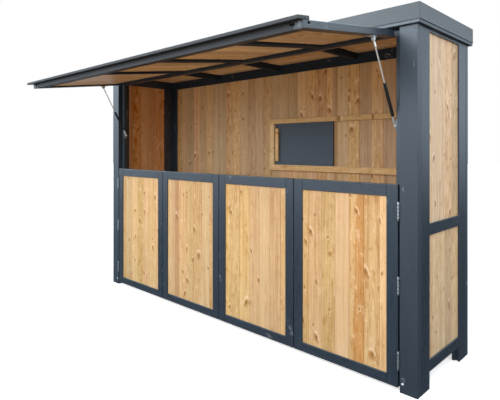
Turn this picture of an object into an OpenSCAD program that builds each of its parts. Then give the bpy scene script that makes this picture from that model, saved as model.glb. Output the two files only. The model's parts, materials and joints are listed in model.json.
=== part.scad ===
// Barbecue shelter: a timber-framed bar shelter, one bay deep, with an awning flap
// over the serving opening, a row of folding counter doors and a sliding back hatch.
// Millimetres. +X to the right seen from the front, +Y to the back, +Z up.
// The origin is on the ground, under the middle of the whole outline.

/* [Shelter] */
// Width over the corner boards
width = 3050; // [2400:10:3600]
// Depth over the corner boards
depth = 732; // [650:2:900]
// Top of the wall frames
wall_top = 2000; // [1960:5:2100]
// Height of the roof upstand above the wall frames
roof_upstand = 50; // [40:1:70]
// How far the roof edge stands out beyond the front and side walls
roof_overhang = 21; // [19:1:40]
// How much further it stands out beyond the back wall
roof_pack = 17; // [0:1:30]

/* [Timber frame] */
// Thickness of the frame timbers
frame_t = 45; // [38:1:58]
// Width of the corner boards on the front and back
corner_w = 100; // [90:1:140]
// Width of the side wall stiles
stile_w = 105; // [80:1:120]
// Height of the bottom and middle wall rails
rail_h = 64; // [50:1:80]
// Underside of the bottom rails above the ground
bottom_rail_z = 92; // [60:1:150]
// Underside of the middle rails
mid_rail_z = 828; // [700:1:950]
// Height of the top rails
top_rail_h = 76; // [70:1:110]

/* [Boarding] */
// Thickness of the tongued boards
board_t = 18; // [12:1:20]
// Setback of the boards from the outer face of the frame
board_recess = 9; // [4:1:12]
// Depth of the groove that holds the boards
groove_d = 12; // [8:1:16]

/* [Counter doors] */
// Thickness of the door and flap frames
leaf_t = 36; // [30:1:40]
// Width of the door stiles and top rails
leaf_stile = 66; // [50:1:90]
// Gap between neighbouring doors
door_gap = 5; // [3:0.5:8]
// Gap between the outer doors and the corner boards
door_side = 10; // [8:0.5:12]
// Underside of the doors
door_z = 22; // [15:1:60]
// Top edge of the doors, the height of the counter
door_top = 1104; // [1000:1:1150]
// Setback of the doors from the front plane
door_set = 0; // [0:0.5:4]

/* [Awning flap] */
// Droop of the open flap below level, in degrees
flap_droop = 7.5; // [2:0.5:20]
// Length of the flap from its hinge to its outer edge
flap_len = 804; // [700:1:822]
// Clearance of the closed flap in front of the walls
flap_stand = 6; // [5.5:0.5:8]
// Gap between the flap and the corner boards
flap_gap = 28; // [8:1:30]
// How far the closing batten reaches past the outer edge
batten_lap = 36; // [10:1:40]

/* [Sliding hatch] */
// Left edge of the hatch panel
hatch_x = -30; // [-200:5:100]
// Width of the hatch panel
hatch_w = 580; // [400:5:600]
// Lower edge of the clear height between the hatch rails
hatch_z = 1160; // [1120:5:1200]
// Clear height between the hatch rails
hatch_h = 346; // [250:2:400]

/* [Hidden] */
$fn = 48;

half_w = width / 2;
inner_x = half_w - frame_t;          // inner face of the side walls
opening_x = half_w - corner_w;       // edge of the front and back openings
back_in = depth - frame_t;           // inner face of the back frame
front_stile_y = frame_t;             // the side stiles stand behind the corner boards
back_stile_y = back_in - stile_w;
top_rail_z = wall_top - top_rail_h;
mid_rail_top = mid_rail_z + rail_h;
bottom_rail_top = bottom_rail_z + rail_h;
tongue = groove_d - 2;               // the boards stop short of the groove's floor

beam_h = 60;                         // front beam over the flap
beam_z = wall_top - beam_h;
rafter = [38, 45];                   // width and height
rafter_x = [-745, 0, 745];

deck_t = 18;
cover_t = 4;
fascia_t = 17;
fascia_z = wall_top - 56;            // the boards reach below the metal trim
trim_t = 1.5;
trim_z = wall_top - 37;
roof_top = wall_top + roof_upstand;
trim_flange = 45;
trim_lip = 4;
roof_seam = 0.8;                     // the open joint of the trim and the fascia at each corner

stop_w = 36;
stop_t = 30;
stop_head = 36;                      // height of the batten under the front beam
stop_y = door_set + leaf_t;

door_n = 4;
door_w = (2 * (opening_x - door_side) - (door_n - 1) * door_gap) / door_n;
door_h = door_top - door_z;
door_rail_low = 58;
door_hinge_r = 5.5;
door_hinge_h = 94;
door_hinge_z = [167, 564, 961];
door_hinge_pin = [3.5, 4];           // radius of the pin, and how far its tips stand out
door_leaf_t = 1.6;

hinge_z = beam_z - 8;                // flap hinge axis, just in front of the walls
flap_half = opening_x - flap_gap;
flap_side = 54;                      // width of the side rails
flap_hinge_rail = 90;
flap_outer_rail = 66;
flap_muntin = 70;
flap_muntin_x = [-330, 320, 970];
flap_recess = 5;                     // setback of the flap's boards from its outer face
flap_slot = [8, 17];                 // open ends of the corner joints: from and to, below the outer face
flap_slot_end = [46, 70];            // in the outer end, measured from the side
flap_slot_side = [33, 49];           // in the side, measured from the outer end
flap_slot_d = 14;
batten = [80, 17];                   // closing batten: width and thickness
batten_over = [33, 2];               // its length beyond the left and the right side of the flap
flap_hinge_x = [-1200, -400, 400, 1200];
knuckle_r = 6;
hinge_pin_r = 3;
hinge_leaf_t = 3;
hinge_leaf_w = 30;
hinge_len = 90;
knuckle_n = 5;
knuckle_gap = 1;

strut_off = 15;                      // the plane of each gas strut, off the stop batten
strut_x = opening_x - stop_w - strut_off;
strut_low = [54, 1420];              // its lower pivot: Y and Z
strut_s = 186;                       // its upper pivot, along the flap from the hinge
strut_n = leaf_t + 18;               // and below the outer face of the flap
strut_plate_t = 3;
tube_r = 9;
tube_len = 196;
tube_floor = 6;
tube_roll = 2.5;                     // the tube's ends are rolled in by this
tube_end = 58;                       // from the lower pivot to the tube
rod_r = 4;
neck_r = 3.5;
neck_end = 14;                       // the necks reach from the pivots past the bracket's ears
tube_fitting = [7.5, 44];            // radius, and end measured from the lower pivot
rod_fitting = [5.5, 34];             // radius, and end measured from the upper pivot
lock_nut = [7.5, 6];                 // radius over the corners, and height
eye_r = 8;
eye_t = 8;
strut_pin_r = 4;
running = 0.05;                      // radial clearance of the pivots
bracket_t = 3;
bracket_x = [-23, 11];               // the foot of the bracket, to the sides of the strut's plane
bracket_len = 56;
bracket_foot = 30;                   // length of an ear where it stands on the foot
bracket_play = 1;
bracket_pin = 19;
rod_play = 2;                        // what the rod still has to the tube's floor when closed
plate_play = 1.5;                    // between the lower pin and the plate that it stands at

hatch_rail_t = 34;                   // how far the rails stand off the boards
hatch_rail_low = 46;
hatch_rail_high = 38;
hatch_groove = 16;                   // depth of the groove in each rail
hatch_lip = 10;
hatch_t = 12;
hatch_lap = 10;                      // the panel's edges run in the grooves
hatch_jamb = 50;
hatch_travel = 540;
hatch_hole_in = 22;                  // the hole is smaller than the panel by this

board_in = back_in + frame_t - board_recess - board_t;   // inner face of the back boards

// Upper pivot of a strut as [Y, Z], with the flap at an angle below level
function strut_pivot(angle) = [
    -flap_stand - strut_s * cos(angle) + strut_n * sin(angle),
    hinge_z - strut_s * sin(angle) - strut_n * cos(angle)];
strut_top = strut_pivot(flap_droop);
strut_len = norm(strut_top - strut_low);
strut_len_closed = norm(strut_pivot(90) - strut_low);
strut_tilt = atan2(strut_low[0] - strut_top[0], strut_top[1] - strut_low[1]);

// The outline runs from the closing batten of the open flap to the back of the roof
flap_reach = flap_stand + (flap_len + batten_lap) * cos(flap_droop) + batten[1] * sin(flap_droop);
front_y = (flap_reach - depth - roof_overhang - roof_pack) / 2;

frame_paint = [0.24, 0.29, 0.34];
natural_wood = [0.80, 0.62, 0.41];
trim_metal = [0.42, 0.45, 0.47];
roof_membrane = [0.10, 0.10, 0.11];
zinc = [0.72, 0.74, 0.75];
black_steel = [0.07, 0.07, 0.08];

// Puts what is drawn from the front plane in its place over the origin
module at_front() {
    translate([0, front_y, 0]) children();
}

// Draws for the right side, and mirrors it for the left
module on_side(side) {
    if (side > 0) children();
    else mirror([1, 0, 0]) children();
}

module block(low, high) {
    translate(low) cube(high - low);
}

// ---- Corners and side walls

module corner_board(side, y) {
    color(frame_paint) at_front() on_side(side)
        block([opening_x, y, 0], [half_w, y + frame_t, wall_top]);
}

// The back corner boards are grooved for the boards of the back wall
module back_corner_board(side) {
    color(frame_paint) at_front() on_side(side) difference() {
        block([opening_x, back_in, 0], [half_w, depth, wall_top]);
        back_boards([opening_x - 1, bottom_rail_z], [opening_x + groove_d, wall_top + 1]);
    }
}

module side_stile(side, y, groove_y) {
    color(frame_paint) at_front() on_side(side) difference() {
        block([inner_x, y, 0], [half_w, y + stile_w, wall_top]);
        side_groove([groove_y, -1], [groove_y + groove_d, wall_top + 1]);
    }
}

// The groove for the boards of a side wall, between two [Y, Z] corners
module side_groove(low, high) {
    block([half_w - board_recess - board_t, low[0], low[1]],
        [half_w - board_recess, high[0], high[1]]);
}

module side_rail(z, h, groove_low, groove_high) {
    y0 = front_stile_y + stile_w;
    y1 = back_stile_y;
    difference() {
        union() {
            block([inner_x, y0, z], [half_w, y1, z + h]);
            side_groove([y0 - tongue, z], [y1 + tongue, z + h]);
        }
        if (groove_low) side_groove([y0 - groove_d, z - 1], [y1 + groove_d, z + groove_d]);
        if (groove_high) side_groove([y0 - groove_d, z + h - groove_d], [y1 + groove_d, z + h + 1]);
    }
}

module side_rails(side) {
    color(frame_paint) at_front() on_side(side) {
        side_rail(bottom_rail_z, rail_h, false, true);
        side_rail(mid_rail_z, rail_h, true, true);
        side_rail(top_rail_z, top_rail_h, true, false);
    }
}

module side_panels(side) {
    y = [front_stile_y + stile_w - tongue, back_stile_y + tongue];
    color(natural_wood) at_front() on_side(side) {
        side_groove([y[0], bottom_rail_top - tongue], [y[1], mid_rail_z + tongue]);
        side_groove([y[0], mid_rail_top - tongue], [y[1], top_rail_z + tongue]);
    }
}

// ---- Back wall

module back_boards(low, high) {
    block([low[0], board_in, low[1]], [high[0], board_in + board_t, high[1]]);
}

module back_rail(z, h, groove_low, groove_high) {
    difference() {
        block([-opening_x, back_in, z], [opening_x, depth, z + h]);
        if (groove_low) back_boards([-half_w, z - 1], [half_w, z + groove_d]);
        if (groove_high) back_boards([-half_w, z + h - groove_d], [half_w, z + h + 1]);
    }
}

module back_rails() {
    color(frame_paint) at_front() {
        back_rail(bottom_rail_z, rail_h, false, true);
        back_rail(mid_rail_z, rail_h, true, true);
        back_rail(top_rail_z, top_rail_h, true, false);
    }
}

module back_panel(x0, x1, z0, z1) {
    color(natural_wood) at_front() back_boards([x0, z0 - tongue], [x1, z1 + tongue]);
}

module back_panel_hatch_bay() {
    x = [hatch_x + hatch_hole_in, hatch_x + hatch_w - hatch_hole_in];
    color(natural_wood) at_front() {
        back_boards([x[0], mid_rail_top - tongue], [x[1], hatch_z + hatch_hole_in]);
        back_boards([x[0], hatch_z + hatch_h - hatch_hole_in], [x[1], top_rail_z + tongue]);
    }
}

// ---- Front beam and roof

module front_beam() {
    color(frame_paint) at_front() block([-opening_x, 0, beam_z], [opening_x, frame_t, wall_top]);
}

module rafters() {
    color(frame_paint) at_front() for (x = rafter_x)
        block([x - rafter[0] / 2, frame_t, wall_top - rafter[1]],
            [x + rafter[0] / 2, back_in, wall_top]);
}

module roof_deck() {
    color(natural_wood) at_front() block([-half_w, 0, wall_top], [half_w, depth, wall_top + deck_t]);
}

module roof_cover() {
    z = wall_top + deck_t;
    color(roof_membrane) at_front() block([-half_w, 0, z], [half_w, depth, z + cover_t]);
}

// A rectangle that stands out from the walls by a margin, and at the back by a packing besides
module wall_outline(margin, pack) {
    translate([-half_w - margin, -margin]) square([width + 2 * margin, depth + 2 * margin + pack]);
}

// A ring round the roof, cut along the mitre at each of its corners
module roof_ring(outer, inner, inner_pack, z0, z1) {
    translate([0, 0, z0]) linear_extrude(z1 - z0) difference() {
        wall_outline(outer, roof_pack);
        wall_outline(inner, inner_pack);
        for (sx = [-1, 1], back = [-1, 1])
            translate([sx * half_w, (depth + roof_pack) * (back + 1) / 2]) rotate([0, 0, 45 * sx * back])
                square([4 * trim_flange, roof_seam], center = true);
    }
}

// Four boards round the deck, the back one packed out from the wall
module fascia_boards() {
    color(frame_paint) at_front() roof_ring(fascia_t, 0, 0, fascia_z, roof_top - trim_t);
}

// The roof edge profile: a face over the fascia, a drip lip under it and a flange on the roof
module edge_trim() {
    face = roof_overhang - trim_lip + trim_t;
    color(trim_metal) at_front() {
        roof_ring(face, fascia_t, roof_pack, trim_z, roof_top);
        roof_ring(roof_overhang, fascia_t, roof_pack, trim_z, trim_z + trim_t);
        roof_ring(face, face - trim_flange, roof_pack, roof_top - trim_t, roof_top);
    }
}

// ---- Counter doors

module stop_battens() {
    y = [stop_y, stop_y + stop_t];
    color(frame_paint) at_front() {
        for (side = [-1, 1]) on_side(side)
            block([opening_x - stop_w, y[0], door_z], [opening_x, y[1], beam_z]);
        block([-opening_x + stop_w, y[0], beam_z - stop_head], [opening_x - stop_w, y[1], beam_z]);
    }
}

function door_x(i) = -opening_x + door_side + i * (door_w + door_gap);

// The space that the boards of a door fill, grown by a margin
module door_field(i, margin) {
    y = door_set + board_recess;
    block([door_x(i) + leaf_stile - margin, y, door_z + door_rail_low - margin],
        [door_x(i) + door_w - leaf_stile + margin, y + board_t, door_top - leaf_stile + margin]);
}

module door_frame(i) {
    x = door_x(i);
    color(frame_paint) at_front() difference() {
        block([x, door_set, door_z], [x + door_w, door_set + leaf_t, door_top]);
        block([x + leaf_stile, door_set - 1, door_z + door_rail_low],
            [x + door_w - leaf_stile, door_set + leaf_t + 1, door_top - leaf_stile]);
        door_field(i, groove_d);
    }
}

module door_panel(i) {
    color(natural_wood) at_front() door_field(i, tongue);
}

// The hinges of the outer doors: a knuckled barrel before the gap, and a leaf on each edge of it
module door_hinges() {
    step = door_hinge_h / knuckle_n;
    color(zinc) at_front() for (side = [-1, 1], z = door_hinge_z)
        on_side(side) translate([opening_x - door_side, door_set, z - door_hinge_h / 2]) {
            translate([door_side / 2, -door_hinge_r, 0]) {
                for (k = [0 : knuckle_n - 1]) translate([0, 0, k * step + knuckle_gap / 2])
                    cylinder(r = door_hinge_r, h = step - knuckle_gap);
                translate([0, 0, -door_hinge_pin[1]])
                    cylinder(r = door_hinge_pin[0], h = door_hinge_h + 2 * door_hinge_pin[1]);
            }
            for (x = [0, door_side - door_leaf_t])
                block([x, 0, 0], [x + door_leaf_t, leaf_t - 6, door_hinge_h]);
            for (k = [0 : knuckle_n - 1]) {
                x = k % 2 == 0 ? [door_side / 2, door_side] : [0, door_side / 2];
                block([x[0], -door_leaf_t, k * step + knuckle_gap / 2],
                    [x[1], 0, (k + 1) * step - knuckle_gap / 2]);
            }
        }
}

// ---- Sliding hatch in the back wall

hatch_rail_x = [hatch_x - 8 - hatch_jamb, hatch_x + hatch_w + hatch_travel + 10 + hatch_jamb];

module hatch_rail(z, h, groove_z) {
    difference() {
        block([hatch_rail_x[0], board_in - hatch_rail_t, z], [hatch_rail_x[1], board_in, z + h]);
        block([hatch_rail_x[0] - 1, board_in - hatch_rail_t + hatch_lip, groove_z],
            [hatch_rail_x[1] + 1, board_in + 1, groove_z + hatch_groove + 1]);
    }
}

module hatch_rails() {
    top = hatch_z + hatch_h;
    color(natural_wood) at_front() {
        hatch_rail(hatch_z - hatch_rail_low, hatch_rail_low, hatch_z - hatch_groove);
        hatch_rail(top, hatch_rail_high, top - 1);
    }
}

module hatch_jambs() {
    color(natural_wood) at_front()
        for (x = [hatch_rail_x[0], hatch_rail_x[1] - hatch_jamb])
            block([x, board_in - hatch_rail_t, hatch_z],
                [x + hatch_jamb, board_in, hatch_z + hatch_h]);
}

module hatch_panel() {
    y = board_in - (hatch_rail_t - hatch_lip + hatch_t) / 2;
    color(frame_paint) at_front()
        block([hatch_x, y, hatch_z - hatch_lap],
            [hatch_x + hatch_w, y + hatch_t, hatch_z + hatch_h + hatch_lap]);
}

module hatch_handle() {
    y = board_in - (hatch_rail_t - hatch_lip + hatch_t) / 2;
    color(natural_wood) at_front()
        block([hatch_x + 8, y - 18, hatch_z + 30], [hatch_x + 37, y, hatch_z + hatch_h - 40]);
}

// ---- Awning flap, drawn closed and swung up about its hinge

// The hinge axis, with X along it, Y into the shelter and Z up
module at_hinge() {
    at_front() translate([0, -flap_stand, hinge_z]) children();
}

module open_flap() {
    at_hinge() rotate([flap_droop - 90, 0, 0]) children();
}

// The knuckles with the numbers in a list, as rods along the hinge axis
module knuckles(numbers, r) {
    step = hinge_len / knuckle_n;
    for (k = numbers) translate([-hinge_len / 2 + k * step + knuckle_gap / 2, 0, 0])
        rotate([0, 90, 0]) cylinder(r = r, h = step - knuckle_gap);
}

// The leaf of a hinge with a tab to each of its knuckles, between two heights
module hinge_leaf(numbers, z0, z1) {
    step = hinge_len / knuckle_n;
    tab = knuckle_r + 2;
    for (k = numbers) translate([-hinge_len / 2 + k * step + knuckle_gap / 2, 0, 0])
        block([0, 0, z0], [step - knuckle_gap, tab, z1]);
    block([-hinge_len / 2, tab, z0], [hinge_len / 2, hinge_leaf_w, z1]);
}

module flap_hinges_fixed() {
    numbers = [0, 2, 4];
    color(zinc) at_hinge() for (x = flap_hinge_x) translate([x, 0, 0]) {
        knuckles(numbers, knuckle_r);
        translate([-hinge_len / 2, 0, 0]) rotate([0, 90, 0]) cylinder(r = hinge_pin_r, h = hinge_len);
        hinge_leaf(numbers, beam_z - hinge_z - hinge_leaf_t, beam_z - hinge_z);
    }
}

module flap_hinges_moving() {
    numbers = [1, 3];
    color(zinc) open_flap() for (x = flap_hinge_x) translate([x, 0, 0]) difference() {
        union() {
            knuckles(numbers, knuckle_r);
            hinge_leaf(numbers, -hinge_leaf_t, 0);
        }
        knuckles([0, 1, 2, 3, 4], hinge_pin_r + running);
    }
}

// The openings between the rails and muntins of the flap, grown by a margin
module flap_fields(y0, y1, margin) {
    edges = concat([-flap_half + flap_side], [for (x = flap_muntin_x, s = [-1, 1]) x + s * flap_muntin / 2],
        [flap_half - flap_side]);
    for (i = [0 : 2 : len(edges) - 1])
        block([edges[i] - margin, y0, -flap_len + flap_outer_rail - margin],
            [edges[i + 1] + margin, y1, -flap_hinge_rail + margin]);
}

// What shows of the frame's joints: the open end of a groove in the end and in the side of each
// outer corner
module flap_corner_slots() {
    for (side = [-1, 1]) on_side(side) {
        block([flap_half - flap_slot_end[1], flap_slot[0], -flap_len - 1],
            [flap_half - flap_slot_end[0], flap_slot[1], -flap_len + flap_slot_d]);
        block([flap_half - flap_slot_d, flap_slot[0], -flap_len + flap_slot_side[0]],
            [flap_half + 1, flap_slot[1], -flap_len + flap_slot_side[1]]);
    }
}

module flap_frame() {
    color(frame_paint) open_flap() difference() {
        block([-flap_half, 0, -flap_len], [flap_half, leaf_t, 0]);
        flap_fields(-1, leaf_t + 1, 0);
        flap_fields(flap_recess, flap_recess + board_t, groove_d);
        flap_corner_slots();
        for (x = flap_hinge_x) translate([x, 0, 0]) {
            translate([-hinge_len / 2 - 1, 0, 0]) rotate([0, 90, 0])
                cylinder(r = knuckle_r + 1.5, h = hinge_len + 2);
            block([-hinge_len / 2, knuckle_r, -hinge_leaf_t], [hinge_len / 2, hinge_leaf_w, 1]);
        }
    }
}

module flap_panels() {
    color(natural_wood) open_flap() flap_fields(flap_recess, flap_recess + board_t, tongue);
}

module flap_batten() {
    z = -flap_len - batten_lap;
    color(frame_paint) open_flap()
        block([-flap_half - batten_over[0], -batten[1], z], [flap_half + batten_over[1], 0, z + batten[0]]);
}

// A fork under each end of the flap, with the pin that the strut hangs on between its ears
module flap_brackets() {
    color(zinc) open_flap() for (side = [-1, 1]) on_side(side) translate([strut_x, 0, -strut_s]) {
        block([bracket_x[0], leaf_t, -bracket_len / 2], [bracket_x[1], leaf_t + bracket_t, bracket_len / 2]);
        for (x = [-eye_t / 2 - bracket_play - bracket_t, eye_t / 2 + bracket_play]) hull() {
            block([x, leaf_t, -bracket_foot / 2], [x + bracket_t, leaf_t + bracket_t, bracket_foot / 2]);
            translate([x, strut_n, 0]) rotate([0, 90, 0]) cylinder(r = eye_r, h = bracket_t, $fn = 32);
        }
        translate([-bracket_pin / 2, strut_n, 0]) rotate([0, 90, 0])
            cylinder(r = strut_pin_r, h = bracket_pin);
    }
}

// ---- Gas struts

// A strut drawn along -Z from its upper pivot, tilted to its rest pose
module strut_place(side) {
    at_front() on_side(side) translate([strut_x, strut_top[0], strut_top[1]])
        rotate([strut_tilt, 0, 0]) children();
}

// The eye of a strut, the neck that holds it, the fitting and its lock nut, drawn along +Z
module strut_fitting(fitting) {
    translate([-eye_t / 2, 0, 0]) rotate([0, 90, 0]) cylinder(r = eye_r, h = eye_t);
    cylinder(r = neck_r, h = neck_end);
    translate([0, 0, neck_end]) cylinder(r = fitting[0], h = fitting[1] - neck_end);
    translate([0, 0, fitting[1]]) cylinder(r = lock_nut[0], h = lock_nut[1], $fn = 6);
}

module strut_rod(side) {
    rod_len = strut_len_closed - tube_end - tube_floor - rod_play;
    color(zinc) strut_place(side) difference() {
        union() {
            mirror([0, 0, 1]) strut_fitting(rod_fitting);
            translate([0, 0, -rod_len]) cylinder(r = rod_r, h = rod_len - neck_end);
        }
        translate([-eye_t, 0, 0]) rotate([0, 90, 0]) cylinder(r = strut_pin_r + running, h = 2 * eye_t);
    }
}

// The tube with its ends rolled in, closed below and bored for the rod above
module strut_tube(side) {
    bore = rod_r + 0.3;
    color(black_steel) strut_place(side) translate([0, 0, -strut_len]) {
        translate([0, 0, tube_end]) rotate_extrude() polygon([
            [0, 0], [tube_r - tube_roll, 0], [tube_r, tube_roll], [tube_r, tube_len - tube_roll],
            [tube_r - tube_roll, tube_len], [bore, tube_len], [bore, tube_floor], [0, tube_floor]]);
        strut_fitting(tube_fitting);
        cylinder(r = neck_r, h = tube_end + 1);
        rotate([0, 90, 0]) cylinder(r = strut_pin_r, h = strut_off - strut_plate_t - plate_play);
    }
}

module strut_plates() {
    color(zinc) at_front() for (side = [-1, 1]) on_side(side)
        block([strut_x + strut_off - strut_plate_t, stop_y + 1, strut_low[1] - 28],
            [strut_x + strut_off, stop_y + stop_t - 1, strut_low[1] + 28]);
}

corner_board(-1, 0);  // front_board_left
corner_board(1, 0);  // front_board_right
back_corner_board(-1);  // back_board_left
back_corner_board(1);  // back_board_right
side_stile(-1, front_stile_y, front_stile_y + stile_w - groove_d);  // front_stile_left
side_stile(1, front_stile_y, front_stile_y + stile_w - groove_d);  // front_stile_right
side_stile(-1, back_stile_y, back_stile_y);  // back_stile_left
side_stile(1, back_stile_y, back_stile_y);  // back_stile_right
side_rails(-1);  // side_rails_left
side_rails(1);  // side_rails_right
side_panels(-1);  // side_panels_left
side_panels(1);  // side_panels_right
back_rails();
back_panel(-opening_x - tongue, opening_x + tongue, bottom_rail_top, mid_rail_z);  // back_panel_lower
back_panel(-opening_x - tongue, hatch_x + hatch_hole_in, mid_rail_top, top_rail_z);  // back_panel_left
back_panel(hatch_x + hatch_w - hatch_hole_in, opening_x + tongue, mid_rail_top, top_rail_z);  // back_panel_right
back_panel_hatch_bay();
front_beam();
rafters();
roof_deck();
roof_cover();
fascia_boards();
edge_trim();
stop_battens();
door_frame(0);  // door_1_frame
door_panel(0);  // door_1_panel
door_frame(1);  // door_2_frame
door_panel(1);  // door_2_panel
door_frame(2);  // door_3_frame
door_panel(2);  // door_3_panel
door_frame(3);  // door_4_frame
door_panel(3);  // door_4_panel
door_hinges();
hatch_rails();
hatch_jambs();
hatch_panel();
hatch_handle();
flap_hinges_fixed();
flap_hinges_moving();
flap_frame();
flap_panels();
flap_batten();
flap_brackets();
strut_plates();
strut_rod(-1);  // strut_rod_left
strut_rod(1);  // strut_rod_right
strut_tube(-1);  // strut_tube_left
strut_tube(1);  // strut_tube_right
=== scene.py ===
"""The finish of a timber barbecue shelter, built round its packed construction frame.

Every length is in metres. Timbers are cut from the frame's own solids into the members that
a joiner would cut, with eased edges, and each member carries the coordinates of the log that
it was sawn from, so that the grain runs along it and differs from its neighbour's.
"""

import json
import math
import random

import bmesh
import bpy
from bpy.props import FloatProperty, FloatVectorProperty, PointerProperty
from mathutils import Matrix, Vector


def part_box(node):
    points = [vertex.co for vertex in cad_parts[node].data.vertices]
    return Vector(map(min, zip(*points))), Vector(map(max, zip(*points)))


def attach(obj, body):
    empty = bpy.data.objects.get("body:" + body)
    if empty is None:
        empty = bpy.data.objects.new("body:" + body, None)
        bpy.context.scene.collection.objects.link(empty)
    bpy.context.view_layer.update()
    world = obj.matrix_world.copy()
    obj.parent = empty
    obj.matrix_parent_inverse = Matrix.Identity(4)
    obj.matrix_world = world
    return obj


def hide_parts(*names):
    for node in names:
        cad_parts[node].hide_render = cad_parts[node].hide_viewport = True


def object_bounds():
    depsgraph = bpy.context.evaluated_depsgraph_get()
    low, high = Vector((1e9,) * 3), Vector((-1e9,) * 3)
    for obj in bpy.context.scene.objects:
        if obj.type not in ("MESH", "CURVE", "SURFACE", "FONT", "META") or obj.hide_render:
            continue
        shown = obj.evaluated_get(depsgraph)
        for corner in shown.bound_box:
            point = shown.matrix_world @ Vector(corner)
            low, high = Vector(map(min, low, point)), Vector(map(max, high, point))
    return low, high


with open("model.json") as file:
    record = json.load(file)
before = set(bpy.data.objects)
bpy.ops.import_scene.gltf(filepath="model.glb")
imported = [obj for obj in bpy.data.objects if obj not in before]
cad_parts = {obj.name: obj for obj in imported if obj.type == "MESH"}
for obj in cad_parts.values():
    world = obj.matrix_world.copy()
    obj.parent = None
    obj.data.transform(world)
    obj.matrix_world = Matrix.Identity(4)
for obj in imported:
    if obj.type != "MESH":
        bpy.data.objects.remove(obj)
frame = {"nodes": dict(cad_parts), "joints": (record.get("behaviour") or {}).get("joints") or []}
CAD_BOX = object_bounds()

bl_info = {
    "name": "Barbecue shelter finish",
    "version": (1, 0, 0),
    "blender": (4, 5, 0),
    "location": "View3D > Sidebar > Shelter",
    "description": "Dresses the frame of a timber barbecue shelter with boards, paint and metalwork",
    "category": "Object",
}

X, Y, Z = 0, 1, 2
AXES = (Vector((1, 0, 0)), Vector((0, 1, 0)), Vector((0, 0, 1)))
LEFT_RIGHT = ("left", "right")
SHARP = math.radians(30)
FLAT = math.radians(0.5)


def length(name, description, default):
    return FloatProperty(name=name, description=description, default=default, unit="LENGTH", precision=4)


def colour(name, description, default):
    return FloatVectorProperty(name=name, description=description, default=default, subtype="COLOR", size=3,
                               min=0, max=1)


class ShelterTimber(bpy.types.PropertyGroup):
    """Sizes of the machined timber"""

    arris: length("Arris", "Rounding of the edges of the painted timbers", 0.0022)
    joint: length("Joint line", "Gap between two members of a frame", 0.0010)
    pitch: length("Board pitch", "Cover width of a board", 0.096)
    tongue: length("Tongue in the frame", "How far the boards run into the grooves of the frame", 0.010)
    first_board: length("First board", "Face width of the ripped board at the edge of a panel", 0.046)
    board_gap: length("Board gap", "Gap between two boards at their faces", 0.0012)
    board_ease: length("Board edge", "Chamfer along the face edges of a board", 0.0015)


class ShelterFittings(bpy.types.PropertyGroup):
    """Sizes of the screws, bolts and struts"""

    screw_head: length("Screw head", "Radius of the heads of the frame screws", 0.0048)
    bolt_head: length("Bolt head", "Radius of the dome heads of the foot bolts", 0.0095)
    bolt_height: length("Bolt height", "Height of the foot bolts above the ground", 0.048)
    bolt_inset: length("Bolt inset", "Foot bolts from the inner edge of a corner board", 0.017)
    screw_inset: length("Screw inset", "Frame screws from the inner edge of a corner board", 0.088)
    broken_edge: length("Broken edge", "Rounding of the edges of the metalwork", 0.0004)
    strut_foot: length("Strut foot", "Length of the bright fitting at the foot of a strut", 0.0645)


class ShelterFinish(bpy.types.PropertyGroup):
    """Colours of the finishes"""

    paint: colour("Paint", "Opaque stain on the frame timbers", (0.0185, 0.0275, 0.039))
    # Shaded paint is a bluer copy of the paint, almost without reflections: painted shade for the beams,
    # rafters, inner back rails and flap bars
    shaded_paint: colour("Shaded paint", "Dull stain on beams and rafters", (0.021, 0.029, 0.042))
    # A greyer, duller copy of the paint: painted shade under the batten on the flap's outer edge, in place
    # of its sky reflection
    shaded_edge_paint: colour("Edge paint", "Grey stain on the outer edge of the flap", (0.030, 0.031, 0.034))
    sapwood: colour("Sapwood", "Pale outer wood of the boards", (0.715, 0.463, 0.225))
    heartwood: colour("Heartwood", "Warm inner wood of the boards", (0.60, 0.325, 0.130))
    latewood: colour("Latewood", "Dark lines of the growth rings", (0.42, 0.172, 0.044))
    knot: colour("Knots", "Rim and heart of the knots", (0.13, 0.058, 0.012))
    knot_wood: colour("Knot wood", "Amber wood of the knots", (0.50, 0.25, 0.080))
    trim: colour("Edge trim", "Coated metal round the roof", (0.029, 0.034, 0.041))
    membrane: colour("Roof membrane", "Covering of the roof", (0.022, 0.023, 0.026))
    zinc: colour("Zinc", "Plated fittings", (0.31, 0.32, 0.33))
    bright: colour("Bright plate", "Brackets and end fittings of the struts", (0.84, 0.85, 0.86))
    # The rods are only half metallic over a near-white colour: the bright sky that chrome would reflect is
    # painted into them
    rod: colour("Rods", "Chromed rods of the struts", (0.92, 0.92, 0.90))


class ShelterStage(bpy.types.PropertyGroup):
    """The floor, the lights and the camera"""

    floor_radius: length("Floor radius", "Radius of the pale floor", 40.0)
    sky: FloatProperty(name="Surround", description="Strength of the surround as a light", default=2.15)
    gloss: FloatProperty(name="Reflections", description="Strength of its reflections", default=4.3)
    sky_colour: colour("Sky", "Colour of the surround above the horizon", (0.82, 0.92, 1.0))
    mirrored_sky: colour("Mirrored sky", "Colour of the sky in reflections", (0.75, 0.87, 1.0))
    ground_colour: colour("Ground", "Colour of the light from below", (0.37, 0.32, 0.265))
    paving_colour: colour("Paving", "Colour of the ground in reflections", (0.04, 0.045, 0.05))
    card: length("Dark cards", "Depth of the dark cloths under the floor", 0.6)
    key: FloatProperty(name="Key light", description="Power of its panel", default=70.0, subtype="POWER")
    lens: FloatProperty(name="Lens", description="Focal length in millimetres", default=33.27)


# ---- Shader maths


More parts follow.
